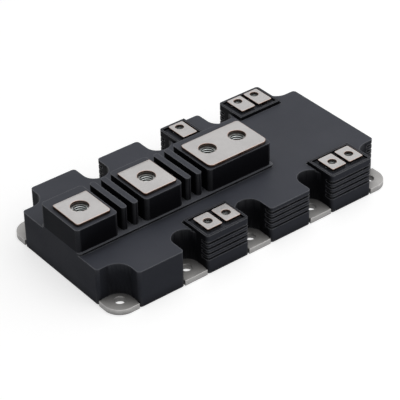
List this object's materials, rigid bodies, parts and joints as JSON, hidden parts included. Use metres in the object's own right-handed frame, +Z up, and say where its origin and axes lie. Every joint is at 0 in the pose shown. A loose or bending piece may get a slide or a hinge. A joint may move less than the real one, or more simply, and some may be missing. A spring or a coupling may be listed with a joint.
{
  "type": "igbt module",
  "caption": "Half-bridge power switching module in a black moulded housing on a nickel-plated base plate, with screw terminals on top",
  "frame": {"origin": "centre of the base plate's underside", "axes": "+X along the module's length away from the first main terminal, +Y across it towards the side with the single auxiliary terminal, +Z up out of the terminals"},
  "size_m": [0.172, 0.089, 0.036],
  "materials": {
    "plate_nickel": "satin nickel plating on copper",
    "housing_plastic": "satin moulded black plastic, glass filled",
    "terminal_nickel": "satin nickel plating on copper",
    "nut_steel": "zinc-plated steel",
    "copper": "bare copper",
    "ceramic": "matte white alumina",
    "silicon": "metallised silicon chips",
    "wire_aluminium": "plain aluminium wire",
    "sensor_black": "matte",
    "gel": "soft clear silicone"
  },
  "bodies": {
    "root": {"base_plate": "plate_nickel", "housing": "housing_plastic", "first_terminal": "terminal_nickel", "second_terminal": "terminal_nickel", "output_terminal": "terminal_nickel", "near_middle_tab_left": "terminal_nickel", "near_middle_tab_right": "terminal_nickel", "near_end_tab_left": "terminal_nickel", "near_end_tab_right": "terminal_nickel", "far_middle_tab": "terminal_nickel", "far_end_tab_left": "terminal_nickel", "far_end_tab_right": "terminal_nickel", "large_nuts": "nut_steel", "small_nuts": "nut_steel", "under_copper_1": "copper", "under_copper_2": "copper", "under_copper_3": "copper", "under_copper_4": "copper", "ceramic_1": "ceramic", "ceramic_2": "ceramic", "ceramic_3": "ceramic", "ceramic_4": "ceramic", "circuit_1": "copper", "circuit_2": "copper", "circuit_3": "copper", "circuit_4": "copper", "igbt_chips": "silicon", "diode_chips": "silicon", "bond_wires": "wire_aluminium", "temperature_sensor": "sensor_black", "silicone_gel": "gel"}
  },
  "joints": []
}
